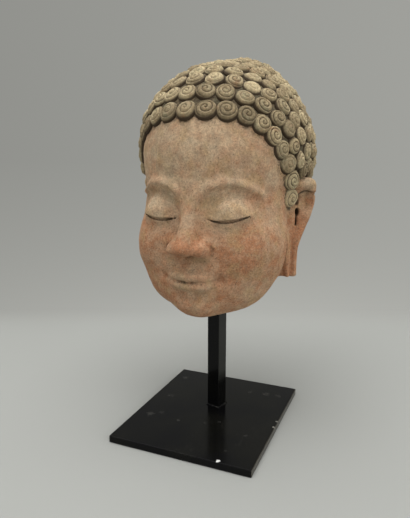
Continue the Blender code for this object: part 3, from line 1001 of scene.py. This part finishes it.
BUFF = rgb(0.53, 0.388, 0.25)
PINK = rgb(0.405, 0.19, 0.096)
OCHRE = rgb(0.425, 0.29, 0.145)
GREY_BUFF = rgb(0.43, 0.35, 0.24)
# Dark earth brown: earth specks in the clay, and painted shade in folds, grooves, at the foot of the curls
# and between them
EARTH_AND_SHADE = rgb(0.055, 0.037, 0.023)
SAND = rgb(0.48, 0.37, 0.26)
MOSS = rgb(0.20, 0.19, 0.12)
RUST = rgb(0.30, 0.115, 0.05)
HAIR_BEIGE = rgb(0.375, 0.29, 0.168)
HAIR_PALE = rgb(0.54, 0.44, 0.27)
HAIR_GREEN = rgb(0.31, 0.285, 0.175)
CORE = rgb(0.34, 0.205, 0.125)

# Each grain's colour, its noise as size, detail and roughness, where it starts and is full, and its strength
GRAINS = (
    (SAND, (1.5, 2, 0.7), 0.54, 0.70, 0.4),
    (MOSS, (2.4, 3), 0.56, 0.70, 0.16),
    (RUST, (3.1, 3), 0.56, 0.70, 0.16),
    (EARTH_AND_SHADE, (1.3, 2, 0.7), 0.57, 0.72, 0.6),
)


def speckled(shader, colour):
    """The colour with the fine dark, green, rusty and sandy specks of gritty fired clay."""
    fine = shader.span(shader.noise(1.7, 3, 0.8), 0.32, 0.68, 0.76, 1.2)
    coarse = shader.span(shader.noise(7.5, 3, 0.6), 0.3, 0.7, 0.9, 1.09)
    colour = shader.scaled(colour, shader.times(fine, coarse))
    for grain, noise, low, high, strength in GRAINS:
        colour = shader.mix(shader.span(shader.noise(*noise), low, high, 0, strength), colour, grain)
    crowded = shader.span(shader.noise(9, 2), 0.5, 0.65)
    specks = shader.times(shader.span(shader.cells(3.4), 0.20, 0.10), crowded)
    return shader.mix(shader.times(specks, 0.4), colour, EARTH_AND_SHADE)


def clay_normal(shader, strength=1.0):
    """Grit, pits and the low unevenness left by hands and burial."""
    grit = shader.bump(shader.noise(0.8, 3, 0.65), 0.25, 0.55 * strength)
    pits = shader.span(shader.cells(4.5), 0.05, 0.16)
    pitted = shader.bump(pits, 0.22, 0.35 * strength, grit)
    return shader.bump(shader.noise(7, 4, 0.6), 1.2, 0.35 * strength, pitted)


def skin_clay():
    """Bare clay of the face and ears: buff turning to orange pink, with painted shade in the folds."""
    shader = Shader("fired_clay", 0.9, 0.25, 0.6)
    pinker = shader.plus(shader.number("warm"), shader.span(shader.noise(7), 0.3, 0.7, -0.22, 0.22))
    colour = shader.mix(pinker, BUFF, PINK)
    cooler = shader.maths("SUBTRACT", 1.15, shader.number("warm"))
    greyer = shader.times(shader.span(shader.noise(16, 3, 0.5), 0.46, 0.68, 0, 0.5), cooler)
    colour = shader.mix(greyer, colour, GREY_BUFF)
    colour = shader.mix(shader.span(shader.noise(12, 3, 0.5), 0.48, 0.68, 0, 0.5), colour, OCHRE)
    bare = shader.span(shader.noise(5, 4, 0.7), 0.35, 0.6, 0.35, 1)
    colour = shader.mix(shader.times(shader.number("broken"), bare), colour, CORE)
    colour = speckled(shader, colour)
    uneven = shader.span(shader.noise(2.5, 4, 0.7), 0.35, 0.75, -0.14, 0.14)
    # Painted shade in folds and recesses
    recess_shade_level = shader.plus(shader.number("recess_shade"), uneven)
    colour = shader.mix(shader.span(recess_shade_level, 0.35, 1.1, 0, 0.92), colour, EARTH_AND_SHADE)
    # Painted shade on the clay round the foot of each curl, broken up by noise
    curl_foot_shade = shader.times(shader.number("beside"), shader.span(shader.noise(2.4, 3, 0.7), 0.44, 0.6))
    colour = shader.mix(shader.times(curl_foot_shade, 0.8), colour, EARTH_AND_SHADE)
    # The ground between the curls: greenish beige, painted deep in shade
    between = shader.mix(shader.span(shader.noise(6, 3), 0.4, 0.6), HAIR_GREEN, HAIR_BEIGE)
    between = shader.mix(shader.span(shader.noise(2, 3, 0.7), 0.3, 0.7, 0.6, 0.97), between, EARTH_AND_SHADE)
    colour = shader.mix(shader.number("scalp"), colour, between)
    return shader.finish(colour, shader.span(shader.noise(5, 3), 0.3, 0.7, 0.82, 0.95), clay_normal(shader))


def hair_clay():
    """Clay of the curls: greenish beige, with painted shade in the spiral lines and at the foot of each
    curl.
    """
    shader = Shader("fired_clay_hair", 0.92, 0.22, 0.6)
    own = shader.times(shader.number("tone_and_shade"), 0.5)
    pale = shader.plus(shader.span(shader.noise(16, 3), 0.3, 0.7), own)
    colour = shader.mix(pale, HAIR_BEIGE, HAIR_PALE)
    colour = shader.mix(shader.span(shader.noise(8, 4, 0.7), 0.5, 0.68, 0, 0.6), colour, HAIR_GREEN)
    colour = shader.mix(shader.span(shader.noise(12, 4, 0.7), 0.58, 0.74, 0, 0.5), colour, RUST)
    # Each curl's own random tone, with painted shade on the first rows over the forehead
    colour = shader.scaled(colour, shader.span(shader.number("tone_and_shade"), -2.2, 1, 0.62, 1.06))
    colour = speckled(shader, colour)
    # Painted shade in the spiral grooves and at the foot of each curl
    colour = shader.mix(shader.span(shader.number("groove"), 0.2, 0.85, 0, 0.9), colour, EARTH_AND_SHADE)
    colour = shader.mix(shader.span(shader.number("foot"), 0.2, 0.8, 0, 0.97), colour, EARTH_AND_SHADE)
    return shader.finish(colour, None, clay_normal(shader, 0.8))


def black_steel(name, wear_and_sheen):
    """Black paint on steel with greasy smudges and dull edges, and the pairs of share and colour from
    wear_and_sheen, which give the wear and any painted sheen.
    """
    shader = Shader(name, 0.3, 0.13)
    cool, warm = rgb(0.0028, 0.0028, 0.0033), rgb(0.0048, 0.0047, 0.0039)
    base = shader.mix(shader.span(shader.noise(45, 3), 0.35, 0.65), cool, warm)
    # Wear, and on the plate and post also painted sheen and reflection
    for share, colour in wear_and_sheen(shader):
        base = shader.mix(share, base, colour)
    smudge = shader.span(shader.noise(30, 4, 0.65), 0.42, 0.68, 0.13, 0.26)
    edge = shader.times(facing(shader, "Z", 0.1, 0.3), facing(shader, "Z", 0.99, 0.9))
    roughness = shader.plus(smudge, shader.times(edge, 0.5))
    return shader.finish(base, roughness, shader.bump(shader.noise(1.1, 2), 0.05, 0.12))


def facing(shader, axis, low, high):
    """0 to 1 as the surface's normal comes to point along this axis."""
    normal = shader.node("ShaderNodeNewGeometry").outputs["Normal"]
    return shader.span(shader.node("ShaderNodeSeparateXYZ", {0: normal}).outputs[axis], low, high)


def near_point(shader, x, y, z, size, ragged=1.0):
    """1 within about this size of a point in the object's frame, with a ragged edge."""
    away = shader.vector("DISTANCE", {0: shader.place, 1: (x * MM, y * MM, z * MM)}).outputs["Value"]
    rough = shader.span(shader.noise(1.5), 0.3, 0.7, -ragged, ragged)
    edge = shader.plus(shader.maths("DIVIDE", away, size * MM), rough)
    return shader.span(edge, 1.15, 0.85)


CHIP = rgb(0.62, 0.62, 0.60)
DUST = rgb(0.055, 0.053, 0.048)
BARE = rgb(0.17, 0.165, 0.145)
RUBBED_AND_SHEEN = rgb(0.066, 0.059, 0.045)
REFLECTED_GREY = rgb(0.034, 0.034, 0.030)

# Smudges on the plate: x, y and size
SMUDGES = ((-48, 12, 2.6), (-49, -29, 3.2), (-40, -22, 2), (-20, -28.5, 1.6), (39, 51.5, 3), (51, 52, 2.4),
           (23, 50, 2), (15, -17.7, 1.2), (4, -24, 1.1), (36, -58, 1.1), (-12, 40, 2.2), (-52, 55, 2.6),
           (44, -30, 1.4))


def plate_wear_and_sheen(shader):
    """Dust and smudges, a right side painted lighter and browner as sheen and rubbed paint, a chip by the
    plate's front edge and two bare specks.
    """
    top = PLATE_HIGH[2] / MM
    cloud = shader.times(shader.span(shader.noise(38, 4, 0.6), 0.5, 0.75),
                         shader.span(shader.noise(3, 3, 0.7), 0.5, 0.7, 0, 0.2))
    yield cloud, DUST
    yield shader.span(shader.cells(9), 0.07, 0.03, 0, 0.4), DUST
    streaks = shader.span(shader.noise(5, 3, 0.6), 0.4, 0.65, 0.18, 0.5)
    for x, y, size in SMUDGES:
        yield shader.times(near_point(shader, x, y, top, size, 0.6), streaks), DUST
    # Painted sheen with rubbed paint: the whole right side face lighter and browner
    patchy = shader.span(shader.noise(9, 4, 0.7), 0.3, 0.6, 0.4, 1)
    yield shader.times(facing(shader, "X", 0.5, 0.9), patchy), RUBBED_AND_SHEEN
    yield near_point(shader, 35.6, -73.1, top, 1.6, 0.25), CHIP
    yield near_point(shader, 62.5, 3.4, top, 1.2, 0.3), BARE
    yield near_point(shader, 62.4, -7.4, top, 1.3, 0.3), BARE


def post_wear_and_reflection(shader):
    """Faint rubbing on the post, and a painted reflection that makes its right side lighter from a little
    above the plate.
    """
    yield shader.span(shader.noise(2.2, 4, 0.7), 0.62, 0.8, 0, 0.35), DUST
    height = shader.node("ShaderNodeSeparateXYZ", {0: shader.place}).outputs["Z"]
    low, high = PLATE_HIGH[2] + 22 * MM, PLATE_HIGH[2] + 34 * MM
    # Painted reflection: the right side lighter from a little above the plate
    yield shader.times(facing(shader, "X", 0.5, 0.9), shader.span(height, low, high, 0, 0.75)), REFLECTED_GREY


def weld_wear(shader):
    """Dust caught on the weld's ripples."""
    yield shader.span(shader.noise(2.5, 3, 0.7), 0.5, 0.65, 0, 0.45), DUST


def build_weld(steel):
    """The painted weld round the foot of the post: a thin rippled bead on the plate."""
    rounds = (np.arange(steps) / steps * 2 * np.pi for steps in (WELD_STEPS, WELD_SIDES))
    turn, section = np.meshgrid(*rounds, indexing="ij")
    thickness = WELD_RADIUS * (1 + 0.16 * np.sin(WELD_RIPPLES * turn) + 0.2 * np.sin(3 * turn + 1))
    square = (POST_SIDE / 2 + POST_GAP) / np.maximum(np.abs(np.cos(turn)), np.abs(np.sin(turn)))
    reach = square + thickness * np.cos(section)
    direction = turn + POST_TURN
    place = np.stack([reach * np.cos(direction), reach * np.sin(direction), thickness * np.sin(section)], -1)
    foot = np.array((*(POST_LOW[:2] + POST_HIGH[:2]) / 2, PLATE_HIGH[2] + 0.1 * MM))
    ring = np.arange(WELD_STEPS * WELD_SIDES).reshape(WELD_STEPS, WELD_SIDES)
    ahead, beside = np.roll(ring, -1, axis=0), np.roll(ring, -1, axis=1)
    quads = np.stack([ring, ahead, np.roll(ahead, -1, axis=1), beside], -1).reshape(-1, 4)
    return mesh_object("weld", place.reshape(-1, 3) * MM + foot, quads.tolist(), steel)


# Surroundings: the camera's angles in degrees, its lens in millimetres and its offset in plate widths, and
# greys for the backdrop and the floor with the distances in metres over which they change

CAMERA_AZIMUTH = 22.78
CAMERA_PITCH = 11.23
CAMERA_ROLL = 0.07
CAMERA_LENS = 34.62
CAMERA_OFFSET = (-0.046, 1.167, 3.698)
BACKDROP = rgb(0.318, 0.320, 0.299)
BACKDROP_RISE = (0.254, 0.107, 0)
BACKDROP_NEAR = 0.11
BACKDROP_TURN = 1.2
FLOOR = rgb(0.331, 0.336, 0.32)
FLOOR_HALF = 30.0
FLOOR_ACROSS = 0.6
FLOOR_DEEP = 0.27


def paint_world():
    """Grey all round, a little lighter to the right and to the back."""
    world = bpy.data.worlds.new("studio")
    world.use_nodes = True
    tree = world.node_tree
    direction = add_node(tree, "ShaderNodeTexCoord").outputs["Generated"]
    tree.links.new(graded(tree, direction), tree.nodes["Background"].inputs["Color"])
    bpy.context.scene.world = world


def graded(tree, direction):
    """The backdrop's grey in this direction from the object."""
    rise = add_node(tree, "ShaderNodeVectorMath", {0: direction, 1: BACKDROP_RISE}, operation="DOT_PRODUCT")
    factor = add_node(tree, "ShaderNodeMath", {0: rise.outputs["Value"], 1: 1.0}).outputs[0]
    grey = add_node(tree, "ShaderNodeVectorMath", {0: BACKDROP[:3], "Scale": factor}, operation="SCALE")
    return grey.outputs["Vector"]


def build_floor():
    """A pale floor round the stand that fades into the backdrop's grey, straight across behind the stand."""
    shader = Shader("paper", 0.9, 0.1)
    shader.surface.inputs["Base Color"].default_value = FLOOR
    turn = math.radians(CAMERA_AZIMUTH)
    share = 0.0
    for axis, reach in (((math.cos(turn), math.sin(turn), 0), FLOOR_ACROSS),
                        ((-math.sin(turn), math.cos(turn), 0), FLOOR_DEEP)):
        distance = shader.vector("DOT_PRODUCT", {0: shader.place, 1: axis}).outputs["Value"]
        scaled = shader.maths("ABSOLUTE", shader.maths("DIVIDE", distance, reach))
        share = shader.plus(shader.maths("POWER", scaled, 4), share)
    # Further out the floor glows in the backdrop's grey as painted light, brighter nearer the stand
    away = shader.vector("LENGTH", {0: shader.place}).outputs["Value"]
    turned = shader.maths("DIVIDE", 1.0, shader.plus(away, BACKDROP_TURN))
    flat = shader.scaled(shader.place, turned)
    nearer = shader.plus(shader.maths("DIVIDE", BACKDROP_NEAR, away), 1.0)
    glow = shader.node("ShaderNodeEmission", {"Color": graded(shader.tree, flat), "Strength": nearer})
    layers = {0: shader.span(share, 0.15, 2.6), 1: shader.surface.outputs[0], 2: glow.outputs[0]}
    blend = shader.node("ShaderNodeMixShader", layers)
    shader.tree.links.new(blend.outputs[0], shader.tree.nodes["Material Output"].inputs["Surface"])
    corners = np.array(((-1, -1, 0), (1, -1, 0), (1, 1, 0), (-1, 1, 0))) * FLOOR_HALF
    mesh_object("floor", corners, [(0, 1, 2, 3)], shader.material)


def softbox(name, place, size, watts):
    """A square area light that faces the head."""
    light = bpy.data.lights.new(name, "AREA")
    light.size = size
    light.energy = watts
    lamp = placed(name, light)
    lamp.location = place
    lamp.rotation_euler = (Vector(HEAD_CENTRE) - Vector(place)).to_track_quat("-Z", "Y").to_euler()


def add_lights():
    """A wide soft light from above, and weak ones from in front and from the camera's right."""
    softbox("key", (0, -0.25, 2.3), 2.4, 71)
    softbox("front", (-1.0, -3.0, 1.7), 2.2, 21)
    softbox("fill_right", (2.1, -0.7, 1.0), 1.6, 18)


def add_camera():
    """The camera, set off from the origin to its right, up and back in plate widths."""
    turns = (CAMERA_AZIMUTH, CAMERA_PITCH, CAMERA_ROLL)
    azimuth, pitch_down, roll = (math.radians(angle) for angle in turns)
    data = bpy.data.cameras.new("camera")
    data.lens = CAMERA_LENS
    data.sensor_width = 36
    data.clip_start = 0.01
    camera = placed("camera", data)
    heading = Matrix.Rotation(azimuth, 4, "Z") @ Matrix.Rotation(math.pi / 2 - pitch_down, 4, "X")
    offset = Matrix.Translation(Vector(CAMERA_OFFSET) * (PLATE_HIGH[0] - PLATE_LOW[0]))
    camera.matrix_world = heading @ offset @ Matrix.Rotation(roll, 4, "Z")
    bpy.context.scene.camera = camera


# The scene

def repaint(node, finish):
    """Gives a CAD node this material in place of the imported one."""
    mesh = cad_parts[node].data
    mesh.materials.clear()
    mesh.materials.append(finish)


HAIRLINE = hairline_table()


def main():
    """The head with its curls, the painted stand, and what is round them."""
    centres = pack_curls()
    radii = curl_radii(centres)
    skin = build_head(centres, radii, skin_clay())
    curls = build_curls(centres, radii, hair_clay())
    for piece in [skin, *curls]:
        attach(piece, "root")
    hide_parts("clay_head")
    repaint("base_plate", black_steel("black_steel_plate", plate_wear_and_sheen))
    repaint("post", black_steel("black_steel_post", post_wear_and_reflection))
    weld = build_weld(black_steel("black_steel_weld", weld_wear))
    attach(weld, "root")
    paint_world()
    build_floor()
    add_lights()
    add_camera()
    bpy.context.scene.view_settings.view_transform = "Standard"


main()
